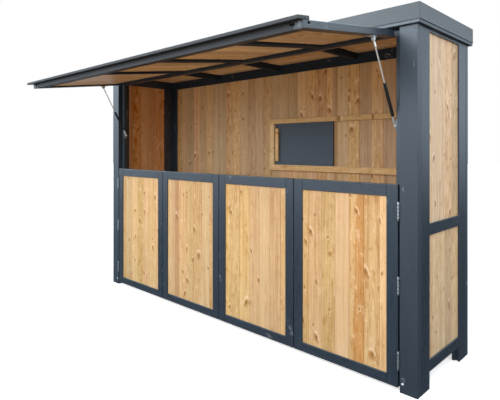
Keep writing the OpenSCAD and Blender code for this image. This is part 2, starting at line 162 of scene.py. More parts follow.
class Socket:
    """One output of a node. Arithmetic on it adds Math nodes."""

    def __init__(self, graph, link):
        self.graph = graph
        self.link = link

    def math(self, operation, *inputs):
        settings = {"operation": operation}
        return self.graph.node("ShaderNodeMath", settings, dict(enumerate(inputs)))[0]

    def __add__(self, other):
        return self.math("ADD", self, other)

    __radd__ = __add__

    def __sub__(self, other):
        return self.math("SUBTRACT", self, other)

    def __rsub__(self, other):
        return self.math("SUBTRACT", other, self)

    def __mul__(self, other):
        return self.math("MULTIPLY", self, other)

    __rmul__ = __mul__

    def __truediv__(self, other):
        return self.math("DIVIDE", self, other)

    def __gt__(self, other):
        return self.math("GREATER_THAN", self, other)

    def floor(self):
        return self.math("FLOOR", self)

    def fraction(self):
        return self.math("FRACT", self)

    def root(self):
        return self.math("SQRT", self)

    def rise(self, low, high):
        """0 below low and 1 above high, with a smooth step between them."""
        inputs = {"Value": self, "From Min": low, "From Max": high}
        return self.graph.node("ShaderNodeMapRange", {"interpolation_type": "SMOOTHSTEP"}, inputs)["Result"]


class Node:
    """A node whose outputs are read as sockets, by name or by number."""

    def __init__(self, graph, made):
        self.graph = graph
        self.made = made

    def __getitem__(self, key):
        return Socket(self.graph, self.made.outputs[key])


class Graph:
    """The node tree of a material or of the surround."""

    def __init__(self, owner):
        owner.use_nodes = True
        self.owner = owner
        self.tree = owner.node_tree
        self.tree.nodes.clear()

    def node(self, kind, settings=None, inputs=None):
        """Adds a node of a kind: first its settings, and then the values or links of its sockets."""
        made = self.tree.nodes.new(kind)
        for name, value in (settings or {}).items():
            if name == "stops":
                self.set_stops(made.color_ramp.elements, value)
            else:
                setattr(made, name, value)
        for key, value in (inputs or {}).items():
            if isinstance(value, Socket):
                self.tree.links.new(value.link, made.inputs[key])
            else:
                made.inputs[key].default_value = value
        return Node(self, made)

    def set_stops(self, elements, stops):
        """The positions and colours of a ramp."""
        while len(elements) < len(stops):
            elements.new(0.5)
        for element, (position, tint) in zip(elements, stops):
            element.position = position
            element.color = opaque(tint)

    def attribute(self, name):
        return self.node("ShaderNodeAttribute", {"attribute_name": name})["Vector"]

    def place(self, *factors):
        """The place of a point in its object, stretched by a factor along each axis."""
        inputs = {0: self.node("ShaderNodeTexCoord")["Object"], 1: factors}
        return self.node("ShaderNodeVectorMath", {"operation": "MULTIPLY"}, inputs)[0]

    def parts(self, vector):
        split = self.node("ShaderNodeSeparateXYZ", inputs={0: vector})
        return split[0], split[1], split[2]

    def vector(self, x, y, z):
        return self.node("ShaderNodeCombineXYZ", inputs={0: x, 1: y, 2: z})[0]

    def noise(self, vector, detail=2.0, roughness=0.5):
        inputs = {"Vector": vector, "Scale": 1.0, "Detail": detail, "Roughness": roughness}
        return self.node("ShaderNodeTexNoise", inputs=inputs)["Fac"]

    def chance(self, value):
        """A random number for each whole number."""
        return self.node("ShaderNodeTexWhiteNoise", {"noise_dimensions": "1D"}, {"W": value})["Value"]

    def mix(self, factor, a, b):
        ends = {6: opaque(a), 7: opaque(b)}
        return self.node("ShaderNodeMix", {"data_type": "RGBA"}, {0: factor, **ends})[2]

    def layered(self, base, *layers):
        """A colour with others laid over it in turn, each through its own mask."""
        for mask, tint in layers:
            base = self.mix(mask, base, tint)
        return base

    def bump(self, height, distance, strength=1.0):
        inputs = {"Height": height, "Distance": distance, "Strength": strength}
        return self.node("ShaderNodeBump", inputs=inputs)[0]

    def surface(self, **inputs):
        """Ends the tree in a Principled shader, and returns the material."""
        named = {name.replace("_", " "): value for name, value in inputs.items()}
        shader = self.node("ShaderNodeBsdfPrincipled", inputs=named)["BSDF"]
        self.node("ShaderNodeOutputMaterial", inputs={"Surface": shader})
        return self.owner


def opaque(value):
    """A colour with its alpha, or a link as it is."""
    return value if isinstance(value, Socket) else (*value, 1.0)


def tinted(tint, factor, lift=0.0):
    """A colour times a factor, raised by a lift."""
    return tuple(factor * c + lift for c in tint)


# ---- Finishes


class Log(Graph):
    """A material of sawn timber. Its u, v and w run across, along and through the log from its pith,
    and tone, warmth and wild are three chance traits of each board."""

    def __init__(self, name):
        super().__init__(bpy.data.materials.new(name))
        self.u, self.v, self.w = self.parts(self.attribute("grain"))
        self.tone, self.warmth, self.wild = self.parts(self.attribute("board"))

    def stretched(self, across, along, detail=2.0, roughness=0.5):
        """Noise drawn out along the grain, with a scale across the log and one along it."""
        return self.noise(self.vector(self.u * across, self.v * along, self.w * across), detail, roughness)

    def knots(self, share):
        """Knots scattered over a share of the cells of a board: the masks of their hearts, of the wood
        that bends round them and of the pale crescents beside them, with their radius."""
        cells_across, cells_along = 9.0, 4.6
        smallest, largest = 0.0038, 0.0110
        place = self.vector(self.u * cells_across, self.v * cells_along, 0.0)
        inputs = {"Vector": place, "Scale": 1.0}
        cell = self.node("ShaderNodeTexVoronoi", {"voronoi_dimensions": "2D"}, inputs)
        centre_u, centre_v, _ = self.parts(cell["Position"])
        chance, size, slant = self.parts(cell["Color"])
        along = self.v - centre_v / cells_along
        across = self.u - centre_u / cells_across + along * (slant - 0.5) * 0.5
        radius = size * size * (largest - smallest) + smallest
        real = chance > 1.0 - share
        ragged = self.noise(self.vector(self.u * 190.0, self.v * 120.0, 0.0)) * 0.5 + 0.75

        # Distances are in radii, and count less along the board, where knots and crescents are longer.
        near = (across * across + along * along * 0.55).root() / radius * ragged
        crescent_off = (across * across + along * along * 0.30).root() / radius * ragged - 1.8
        lean = (across * (slant - 0.5) * 2.0 + along * (size - 0.4)) / radius
        heart = (1.0 - near.rise(0.35, 1.10)) * real
        halo = (1.0 - near.rise(0.6, 4.2)) * real
        crescent = (1.0 - (crescent_off * crescent_off).rise(0.10, 0.65)) * lean.rise(0.2, 0.9) * real
        return heart, halo, crescent, radius

    def rings(self, halo, radius):
        """Distance from the pith of the log, with its taper, its wander and its bends round the knots."""
        wander = (self.stretched(5.0, 1.1, 3.0) - 0.5) * 0.024
        fine_wander = (self.stretched(22.0, 4.5) - 0.5) * 0.004
        taper = self.v * (self.wild * 0.014 + 0.004)
        from_pith = (self.u * self.u + self.w * self.w).root()
        return from_pith + taper + wander + fine_wander + halo * radius * 1.5


def natural_wood(name, finish, share=0.74, inner=1.0, turn=0.0, depth=1.0, rich=1.0, spread=0.24):
    """Planed softwood: sapwood and heartwood, growth rings, streaks, fibres and knots. The share is that
    of knots, and inner is 0 for sapwood alone. A turn of the hue makes it redder, a depth below 1
    darker and a rich below 1 greyer, and the spread is how far its boards differ."""
    log = Log(name)
    heart, halo, crescent, radius = log.knots(log.wild * 0.55 + (share - 0.45))
    ring = log.rings(halo, radius)
    ring_width = 0.0038
    phase = ring / ring_width
    year = log.chance(phase.floor())
    line = phase.fraction()
    latewood = line.rise(0.30, 0.86) * (1.0 - line.rise(0.90, 1.0)) * (year * 0.9 + 0.25)

    streaks = log.noise(log.vector(ring * 120.0, log.v * 0.6, log.warmth * 40.0), 3.0, 0.65)
    broad = log.noise(log.vector(ring * 34.0, log.v * 0.35, log.tone * 40.0))
    bands = log.stretched(75.0, 0.9, 3.0, 0.7)
    fibre = log.stretched(950.0, 11.0)
    patches = log.stretched(9.0, 2.4, 3.0)
    flames = log.noise(log.vector(log.u * 38.0 + streaks * 1.5, log.v * 12.0, log.w * 38.0), 4.0, 0.7)
    dashes = log.stretched(210.0, 9.0, 1.0)

    border = log.warmth * 0.045 + 0.060
    core = (1.0 - ((ring - border) + (patches - 0.5) * 0.006).rise(-0.0015, 0.002)) * inner
    red, green, blue = finish.heartwood
    heartwood = log.mix(log.wild.rise(0.35, 0.95) * patches.rise(0.35, 0.65), finish.heartwood,
                        (red, 0.92 * green, 0.88 * blue))
    pale = tinted(finish.sapwood, 1.0, 0.16)
    knot_rim = heart.rise(0.02, 0.20) * (1.0 - heart.rise(0.25, 0.50))
    wood = log.layered(
        finish.sapwood,
        (core, heartwood),
        (streaks.rise(0.46, 0.78) * 0.55, finish.latewood),
        ((1.0 - broad.rise(0.30, 0.40)) * 0.25, pale),
        (bands.rise(0.50, 0.75) * 0.55, finish.latewood),
        ((1.0 - bands.rise(0.28, 0.36)) * 0.45, pale),
        (latewood * 0.32, finish.latewood),
        (dashes.rise(0.66, 0.76) * 0.40, finish.latewood),
        (flames.rise(0.575, 0.62) * (log.wild * 0.52 + 0.12), pale),
        ((1.0 - flames.rise(0.38, 0.43)) * (log.wild * 0.55 + 0.12), finish.latewood),
        (halo.rise(0.30, 0.80) * 0.60, finish.latewood),
        (crescent * 0.70, pale),
        (heart.rise(0.0, 0.25) * 0.75, finish.knot_wood),
        (knot_rim * 0.90, finish.knot),
        (heart.rise(0.70, 0.95) * log.tone.rise(0.1, 0.5) * 0.85, finish.knot),
    )

    uneven = (fibre - 0.5) * 0.14 + (patches - 0.5) * 0.18
    value = (log.tone - 0.5) * (spread * depth) + 0.965 * depth + uneven
    hue = (log.warmth - 0.5) * -0.010 + (0.5 - turn)
    saturation = (log.wild - 0.5) * 0.16 + (1.02 * rich + turn * 8.0)
    inputs = {"Hue": hue, "Saturation": saturation, "Value": value, "Color": wood}
    wood = log.node("ShaderNodeHueSaturation", inputs=inputs)[0]

    height = fibre * 0.35 + latewood * 0.5 - heart * 0.6
    roughness = (fibre - 0.5) * 0.12 + latewood * -0.08 + 0.44
    normal = log.bump(height, 0.00025, 0.6)
    return log.surface(Base_Color=wood, Roughness=roughness, Normal=normal, Specular_IOR_Level=0.18)


def painted_wood(name, tint, share=0.62, rough=0.24, shine=0.55):
    """Opaque satin stain on sawn timber, which lets the fibres and the knots show through, and is rubbed
    pale round some of the knots."""
    log = Log(name)
    heart, halo, crescent, radius = log.knots(share)
    ring_width = 0.0042
    line = (log.rings(halo, radius) / ring_width).fraction()
    latewood = line.rise(0.35, 0.85) * (1.0 - line.rise(0.88, 1.0))
    fibre = log.stretched(700.0, 9.0, 3.0, 0.6)
    brush = log.stretched(160.0, 3.0)
    cloud = log.stretched(6.0, 1.6, 4.0, 0.6)
    rubs = log.stretched(55.0, 30.0, 4.0, 0.7).rise(0.46, 0.56) * log.wild.rise(0.40, 0.60)
    rubbed = (crescent + halo.rise(0.55, 0.95)) * (1.0 - heart) * rubs

    dark, light, chalky = tinted(tint, 0.80), tinted(tint, 1.28), tinted(tint, 1.0, 0.14)
    paint = log.layered(
        log.mix(cloud.rise(0.25, 0.75) * 0.5 + brush * 0.3 + log.tone * 0.2, dark, light),
        (latewood * 0.10, dark),
        (rubbed * 0.7, chalky),
        (heart * 0.5, dark),
        (fibre.rise(0.66, 0.80) * 0.08, chalky),
    )

    height = fibre * 0.5 + latewood * 0.5 + brush * 0.3 + halo * 1.2 - heart * 1.5
    roughness = cloud * 0.10 + (fibre - 0.5) * 0.12 + rough
    normal = log.bump(height, 0.00035, 0.55)
    return log.surface(Base_Color=paint, Roughness=roughness, Normal=normal, Specular_IOR_Level=shine)


def coated_metal(name, tint, roughness=0.30):
    """Factory-coated sheet: a fine grain, soft waves of the sheet and a little dust."""
    graph = Graph(bpy.data.materials.new(name))
    grain = graph.noise(graph.place(1600.0, 1600.0, 1600.0), 1.0)
    waves = graph.noise(graph.place(1.9, 1.9, 5.0))
    dust = graph.noise(graph.place(14.0, 14.0, 40.0), 4.0, 0.65)
    paint = graph.mix(dust.rise(0.35, 0.75) * 0.35 + grain * 0.15, tint, tinted(tint, 1.35, 0.01))
    normal = graph.bump(waves, 0.010, 0.35)
    rough = grain * 0.08 + dust * 0.12 + (roughness - 0.08)
    return graph.surface(Base_Color=paint, Roughness=rough, Normal=normal, Specular_IOR_Level=0.28)


def plated_metal(name, tint, roughness=0.38, spangle=0.5, metallic=1.0):
    """Zinc or chrome plate: small crystals, draw marks and a soft sheen."""
    graph = Graph(bpy.data.materials.new(name))
    inputs = {"Vector": graph.place(240.0, 240.0, 240.0), "Scale": 1.0}
    patch, _, _ = graph.parts(graph.node("ShaderNodeTexVoronoi", inputs=inputs)["Color"])
    drawn = graph.noise(graph.place(900.0, 900.0, 60.0))
    metal = graph.mix(patch * spangle + drawn * 0.3, tint, tinted(tint, 0.72))
    rough = patch * (0.14 * spangle) + drawn * 0.10 + roughness - 0.08
    normal = graph.bump(drawn, 0.00005, 0.4)
    return graph.surface(Base_Color=metal, Roughness=rough, Metallic=metallic, Normal=normal)


def satin_black(name):
    """Black lacquer on the tubes, with fine orange peel and a few dusty rubs."""
    graph = Graph(bpy.data.materials.new(name))
    peel = graph.noise(graph.place(420.0, 420.0, 420.0))
    rubs = graph.noise(graph.place(30.0, 30.0, 120.0), 4.0, 0.7)
    black, rubbed = (0.010, 0.010, 0.011), (0.045, 0.045, 0.048)
    lacquer = graph.mix(rubs.rise(0.55, 0.85) * 0.5, black, rubbed)
    rough = rubs * 0.18 + 0.24
    normal = graph.bump(peel, 0.00008, 0.4)
    return graph.surface(Base_Color=lacquer, Roughness=rough, Normal=normal)


def rubber_membrane(name, tint):
    """Matt membrane with dust in its hollows and a fine pebble."""
    graph = Graph(bpy.data.materials.new(name))
    pebble = graph.noise(graph.place(900.0, 900.0, 900.0))
    dust = graph.noise(graph.place(4.0, 4.0, 4.0), 5.0, 0.6)
    rubber = graph.mix(dust.rise(0.42, 0.72) * 0.7, tint, tinted(tint, 1.0, 0.05))
    rough = dust * 0.15 + 0.62
    normal = graph.bump(pebble, 0.0003, 0.5)
    return graph.surface(Base_Color=rubber, Roughness=rough, Normal=normal)


FINISHES = {}


def finish_named(slot):
    """The material of a slot, or one of its kinds, made when it is first asked for."""
    if slot not in FINISHES:
        finish = bpy.context.scene.shelter_finish
        makers = {
            "painted_timber": lambda: painted_wood("Painted_timber", finish.paint),
            "painted_board": lambda: painted_wood("Painted_board", finish.paint, 0.62, 0.33, 0.50),
            # A copy of the paint with painted shade, for members that stand in the shade of the roof and the
            # flap
            "painted_shade": lambda: painted_wood("Painted_shade", finish.shaded_paint, 0.4, 0.55, 0.08),
            "painted_sheet": lambda: painted_wood("Painted_sheet", finish.paint, 0.0, 0.45),
            # A copy of the paint with painted shade for the outer edge of the flap
            "shaded_painted_edge": lambda: painted_wood("Shaded_painted_edge", finish.shaded_edge_paint, 0.3, 0.45, 0.3),
            "natural_boards": lambda: natural_wood("Natural_boards", finish),
            "inner_boards": lambda: natural_wood("Inner_boards", finish, turn=0.002, rich=0.94, spread=0.38),
            # Darker, redder boards for the left wall: partly redder heartwood, partly painted shade and warm
            # bounce light on the inside of that wall
            "ruddy_boards": lambda: natural_wood("Ruddy_boards", finish, turn=0.018, depth=0.92),
            # Greyer boards for the right wall: the pale sheen of sky reflected at a grazing angle is painted
            # into their colour
            "grey_boards": lambda: natural_wood("Grey_boards", finish, rich=0.80),
            "natural_timber": lambda: natural_wood("Natural_timber", finish, 0.65, depth=1.05),
            # Sapwood alone, and paler still: the front light on the hatch jambs and handle is painted into
            # their colour as a highlight
            "lit_pale_timber": lambda: natural_wood("Lit_pale_timber", finish, 0.55, 0.0, -0.009, 1.28, 0.98),
            "trim": lambda: coated_metal("Edge_trim", finish.trim),
            "roof_membrane": lambda: rubber_membrane("Roof_membrane", finish.membrane),
            "zinc_plate": lambda: plated_metal("Zinc_plate", finish.zinc),
            "bright_plate": lambda: plated_metal("Bright_plate", finish.bright, 0.30, 0.6, 0.7),
            # Half metallic over a near-white colour: a painted reflection of the sky on the rods
            "strut_rod": lambda: plated_metal("Rod_painted_reflection", finish.rod, 0.34, 0.1, 0.5),
            "strut_tube": lambda: satin_black("Black_tube"),
        }
        FINISHES[slot] = makers[slot]()
    return FINISHES[slot]


# ---- Building meshes


class Piece:
    """One object in the making: solids are added to it, each with a grain of its own."""

    def __init__(self, name, place=None):
        self.name = name
        self.place = place or Matrix()
        self.chance = random.Random(name)
        self.whole = bmesh.new()
        for layer in ("grain", "board"):
            self.whole.verts.layers.float_vector.new(layer)

    def add(self, solid, along=None, depth=None, ease=0.0):
        """Eases the sharp edges of a solid, places it in a log, and joins it to the piece. Left to itself,
        the grain runs along the longest side and the log's depth is across the thinnest."""
        if ease:
            sharp = [e for e in solid.edges if e.is_manifold and e.calc_face_angle(0.0) > SHARP]
            bmesh.ops.bevel(solid, geom=sharp, offset=ease, offset_type="OFFSET", segments=2, profile=0.5,
                            affect="EDGES", clamp_overlap=True)
        low, high = extent(solid)
        size = high - low
        order = sorted((X, Y, Z), key=lambda axis: size[axis])
        along = order[2] if along is None else along
        depth = order[0] if depth is None or depth == along else depth
        across = X + Y + Z - along - depth
        middle = (low + high) / 2
        pith_across = self.chance.uniform(-0.055, 0.055)
        pith_depth = self.chance.uniform(0.012, 0.075) * self.chance.choice((-1, 1))
        start = self.chance.uniform(1, 60)
        traits = [self.chance.random() for _ in AXES]
        grain = solid.verts.layers.float_vector.new("grain")
        board = solid.verts.layers.float_vector.new("board")
        for vertex in solid.verts:
            off = vertex.co - middle
            vertex[grain] = (off[across] + pith_across, off[along] + start, off[depth] + pith_depth)
            vertex[board] = traits
        step = bpy.data.meshes.new("step")
        solid.to_mesh(step)
        solid.free()
        self.whole.from_mesh(step)
        bpy.data.meshes.remove(step)

    def build(self, body, slot, *nodes, smooth=False, finish=None):
        """Makes the object: it rides on a body, takes a slot's finish, or one of its kinds, and stands
        for CAD nodes."""
        self.whole.transform(self.place)
        bmesh.ops.recalc_face_normals(self.whole, faces=self.whole.faces)
        mesh = bpy.data.meshes.new(self.name)
        self.whole.to_mesh(mesh)
        self.whole.free()
        if smooth:
            mesh.shade_smooth()
            mesh.set_sharp_from_angle(angle=SHARP)
        mesh.materials.append(finish_named(finish or slot))
        made = bpy.data.objects.new(self.name, mesh)
        bpy.context.scene.collection.objects.link(made)
        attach(made, body)
        if nodes:
            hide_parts(*nodes)


def extent(solid):
    """The lowest and the highest corner of a solid's box."""
    places = [v.co for v in solid.verts]
    low = Vector([min(p[axis] for p in places) for axis in (X, Y, Z)])
    high = Vector([max(p[axis] for p in places) for axis in (X, Y, Z)])
    return low, high


def prism(outline, start, end, axes):
    """A closed outline drawn on two axes and drawn out along a third, from start to end."""
    across, depth, along = axes
    solid = bmesh.new()
    rings = []
    for station in (start, end):
        ring = []
        for a, b in outline:
            place = Vector((0, 0, 0))
            place[across], place[depth], place[along] = a, b, station
            ring.append(solid.verts.new(place))
        rings.append(ring)
    count = len(outline)
    for i in range(count):
        j = (i + 1) % count
        solid.faces.new((rings[0][i], rings[0][j], rings[1][j], rings[1][i]))
    solid.faces.new(rings[0])
    solid.faces.new(reversed(rings[1]))
    bmesh.ops.recalc_face_normals(solid, faces=solid.faces)
    return solid


def turned(profile, place, segments, lobes):
    """A turned part: [radius, height] stations about the Z axis of a placement. A negative radius is
    the edge of a star-shaped recess with that many lobes."""
    lobe_depth = 0.20
    solid = bmesh.new()
    rings = []
    for radius, height in profile:
        ring = []
        for i in range(segments):
            angle = 2 * math.pi * i / segments
            reach = abs(radius) * (1 + lobe_depth * math.cos(lobes * angle)) if radius < 0 else radius
            ring.append(solid.verts.new((reach * math.cos(angle), reach * math.sin(angle), height)))
        rings.append(ring)
    for lower, upper in zip(rings, rings[1:]):
        for i in range(segments):
            j = (i + 1) % segments
            solid.faces.new((lower[i], lower[j], upper[j], upper[i]))
    solid.faces.new(reversed(rings[0]))
    solid.faces.new(rings[-1])
    bmesh.ops.transform(solid, matrix=place, verts=solid.verts)
    bmesh.ops.recalc_face_normals(solid, faces=solid.faces)
    return solid


def facing(point, direction):
    """A placement at a point, with its Z axis along a direction."""
    turn = Vector(direction).to_track_quat("Z", "Y").to_matrix().to_4x4()
    return Matrix.Translation(point) @ turn


def solids_of(node, place=None):
    """The separate solids of a CAD node, with their flat faces joined up, in the axes of a placement."""
    whole = bmesh.new()
    whole.from_mesh(frame["nodes"][node].data)
    if place:
        bmesh.ops.transform(whole, matrix=place.inverted(), verts=whole.verts)
    bmesh.ops.remove_doubles(whole, verts=whole.verts, dist=1e-5)
    bmesh.ops.dissolve_limit(whole, angle_limit=FLAT, verts=whole.verts, edges=whole.edges)
    left = set(whole.verts)
    found = []
    while left:
        reached = {left.pop()}
        front = list(reached)
        while front:
            vertex = front.pop()
            near = {e.other_vert(vertex) for e in vertex.link_edges} - reached
            reached |= near
            front.extend(near)
        left -= reached
        found.append(part_of(whole, reached))
    whole.free()
    return sorted(found, key=lambda s: tuple(round(c, 4) for c in extent(s)[0]))


def part_of(whole, wanted):
    """A copy of a mesh that keeps only the wanted vertices."""
    whole.verts.index_update()
    numbers = {v.index for v in wanted}
    part = whole.copy()
    part.verts.ensure_lookup_table()
    bmesh.ops.delete(part, geom=[v for i, v in enumerate(part.verts) if i not in numbers], context="VERTS")
    return part


def cut(solid, low, high):
    """What of a solid lies in a box, with its cut faces closed."""
    part = solid.copy()
    for axis in (X, Y, Z):
        for bound, sign in ((low[axis], -1), (high[axis], 1)):
            if bound is None:
                continue
            point = Vector((0, 0, 0))
            point[axis] = bound
            bmesh.ops.bisect_plane(part, geom=part.verts[:] + part.edges[:] + part.faces[:], dist=1e-6,
                                   plane_co=point, plane_no=AXES[axis] * sign, clear_outer=True)
            edges = [e for e in part.edges if e.is_boundary]
            if edges:
                bmesh.ops.triangle_fill(part, use_beauty=True, use_dissolve=True, edges=edges)
    bmesh.ops.dissolve_limit(part, angle_limit=FLAT, verts=part.verts, edges=part.edges)
    bmesh.ops.recalc_face_normals(part, faces=part.faces)
    return part


def timber_sizes():
    return bpy.context.scene.shelter_timber


def fittings():
    return bpy.context.scene.shelter_fittings


def joint_named(name):
    return next(j for j in frame["joints"] if j["name"] == name)


def flap_place():
    """The placement of the flap: its hinge, X along it, and Z up the closed flap."""
    hinge = joint_named("flap_hinge")
    turn = Matrix.Rotation(-math.radians(hinge["range_deg"][1]), 4, "X")
    return Matrix.Translation(hinge["pos_m"]) @ turn


def machined(node, body="shelter", slot="painted_timber", along=None, depth=None, place=None, finish=None):
    """A CAD node of one timber or more, each eased and given a grain along its length."""
    piece = Piece(node + "_finish", place)
    for solid in solids_of(node, place):
        piece.add(solid, along, depth, timber_sizes().arris)
    piece.build(body, slot, node, finish=finish)


def metalwork(node, body="shelter", slot="zinc_plate", finish=None):
    """A CAD node of metal parts, with their edges broken."""
    piece = Piece(node + "_finish")
    for solid in solids_of(node):
        piece.add(solid, ease=fittings().broken_edge)
    piece.build(body, slot, node, smooth=True, finish=finish)


# ---- Boards


def board_outline(a0, a1, b0, b1, groove, tongue):
    """Section of a tongued and grooved board between two edges, from one face to the other."""
    sizes = timber_sizes()
    gap, ease = sizes.board_gap, sizes.board_ease
    middle = (b0 + b1) / 2
    tongue_half, groove_half = 0.0026, 0.0030
    reach, hollow = 0.0065, 0.0075
    edge = a1 - gap if tongue else a1
    points = [(a0 + ease, b0), (edge - ease, b0), (edge, b0 + ease)]
    if tongue:
        points += [(edge, middle - tongue_half), (edge + reach, middle - tongue_half),
                   (edge + reach, middle + tongue_half), (edge, middle + tongue_half)]
    points += [(edge, b1 - ease), (edge - ease, b1), (a0 + ease, b1), (a0, b1 - ease)]
    if groove:
        points += [(a0, middle + groove_half), (a0 + hollow, middle + groove_half),
                   (a0 + hollow, middle - groove_half), (a0, middle - groove_half)]
    return points + [(a0, b0 + ease)]


def add_boards(piece, low, high, along, depth, joint):
    """Fills a box with boards that run along one axis. One of their joints, or its continuation, is at
    a given place; narrow strips at the edges are left on their neighbours."""
    across = X + Y + Z - along - depth
    pitch = timber_sizes().pitch
    start, end = low[across], high[across]
    least = 0.02
    place = start + (joint - start - least) % pitch + least
    edges = [start]
    while place < end - least:
        edges.append(place)
        place += pitch
    edges.append(end)
    for i, (a0, a1) in enumerate(zip(edges, edges[1:])):
        outline = board_outline(a0, a1, low[depth], high[depth], i > 0, i < len(edges) - 2)
        piece.add(prism(outline, low[along], high[along], (across, depth, along)), along, depth)


def boarded(node, along, depth, body="shelter", place=None, joint=None, finish=None):
    """A CAD node of flat panels, each made of boards. Without a joint's place, each panel starts with
    the ripped board."""
    sizes = timber_sizes()
    piece = Piece(node + "_boards", place)
    for solid in solids_of(node, place):
        low, high = extent(solid)
        solid.free()
        first = low[X + Y + Z - along - depth] + sizes.tongue + sizes.first_board
        add_boards(piece, low, high, along, depth, first if joint is None else joint)
    piece.build(body, "natural_boards", node, finish=finish)


# ---- Framed leaves


def panel_fields(node, place=None):
    """The clear openings that a node's panels fill, as pairs of corners."""
    tongue = timber_sizes().tongue
    fields = []
    for solid in solids_of(node, place):
        low, high = extent(solid)
        solid.free()
        margin = Vector((tongue, 0, tongue))
        fields.append((low + margin, high - margin))
    return fields


def framed_leaf(node, panel_node, body, place=None, outer="painted_timber", inner="painted_timber"):
    """A frame of two full-height stiles, an outer rail at its foot, and the bars: an upper rail and,
    between its fields, muntins. The outer rail and the bars may each have another kind of finish."""
    arris = timber_sizes().arris
    gap = timber_sizes().joint / 2
    solid = solids_of(node, place)[0]
    fields = panel_fields(panel_node, place)
    first, last = fields[0], fields[-1]
    below, above = first[0].z, first[1].z
    left, right = first[0].x + gap, last[1].x - gap
    stiles = Piece(node + "_finish", place)
    rail = Piece(node + "_outer_rail", place)
    bars = Piece(node + "_bars", place)
    free = (None, None, None)
    stiles.add(cut(solid, free, (first[0].x, None, None)), Z, Y, arris)
    stiles.add(cut(solid, (last[1].x, None, None), free), Z, Y, arris)
    rail.add(cut(solid, (left, None, None), (right, None, below)), X, Y, arris)
    bars.add(cut(solid, (left, None, above), (right, None, None)), X, Y, arris)
    for one, two in zip(fields, fields[1:]):
        bars.add(cut(solid, (one[1].x, None, below + gap), (two[0].x, None, above - gap)), Z, Y, arris)
    solid.free()
    for piece, finish in ((rail, outer), (bars, inner), (stiles, None)):
        piece.build(body, "painted_timber", node, finish=finish)


# ---- Fasteners

SCREW = ((1.0, -0.55), (1.0, 0.05), (0.86, 0.26), (0.55, 0.34), (-0.42, 0.36), (-0.36, -0.10), (0.10, -0.16))
DOME_BOLT = ((1.0, -0.20), (1.0, 0.08), (0.90, 0.30), (0.70, 0.47), (0.40, 0.57), (0.05, 0.60))


def fasteners(name, places, radius, slot="zinc_plate", profile=SCREW):
    """A set of screw or bolt heads, each at a point and facing a direction, as one piece."""
    piece = Piece(name)
    stations = [(r * radius, h * radius) for r, h in profile]
    for point, direction in places:
        piece.add(turned(stations, facing(point, direction), segments=24, lobes=6))
    piece.build("shelter", slot, smooth=True)


# ---- Operators


class SHELTER_OT_corners(bpy.types.Operator):
    """Corner boards and wall stiles, with their screws and foot bolts"""

    bl_idname = "shelter.corners"
    bl_label = "Corners"

    def execute(self, context):
        for side in LEFT_RIGHT:
            machined("front_board_" + side, along=Z, depth=Y, finish="painted_board")
            machined("back_board_" + side, along=Z, depth=Y, finish="painted_board")
            machined("front_stile_" + side, along=Z, depth=X)
            machined("back_stile_" + side, along=Z, depth=X)
        self.fasten()
        return {"FINISHED"}

    def fasten(self):
        """A dome bolt near the foot of each corner board, and screws up its outer edge."""
        sizes = fittings()
        screw_heights = (0.42, 1.02, 1.62, 1.925)
        bolts, heads = [], []
        for side, sign in zip(LEFT_RIGHT, (-1, 1)):
            low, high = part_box("front_board_" + side)
            inner = low.x if sign > 0 else high.x
            bolt_x = inner + sign * sizes.bolt_inset
            screw_x = inner + sign * sizes.screw_inset
            faces = ((low.y, -1), (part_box("back_board_" + side)[1].y, 1))
            bolts += [((bolt_x, y, sizes.bolt_height), (0, out, 0)) for y, out in faces]
            heads += [((screw_x, y, z), (0, out, 0)) for z in screw_heights for y, out in faces]
        fasteners("foot_bolts", bolts, sizes.bolt_head, profile=DOME_BOLT)
        fasteners("corner_screws", heads, sizes.screw_head, slot="painted_timber")


class SHELTER_OT_walls(bpy.types.Operator):
    """Rails and boards of the side and back walls"""

    bl_idname = "shelter.walls"
    bl_label = "Walls"

    def execute(self, context):
        # The left wall's boards carry painted shade and warm bounce light, and the right wall's a painted
        # sheen of the sky
        for side, finish in zip(LEFT_RIGHT, ("ruddy_boards", "grey_boards")):
            machined("side_rails_" + side, along=Y, depth=X)
            boarded("side_panels_" + side, Z, X, finish=finish)
        # The back rails take the copy of the paint with painted shade
        machined("back_rails", along=X, depth=Y, finish="painted_shade")
        for part in ("lower", "left", "right", "hatch_bay"):
            boarded("back_panel_" + part, Z, Y, joint=0.0, finish="inner_boards")
        return {"FINISHED"}


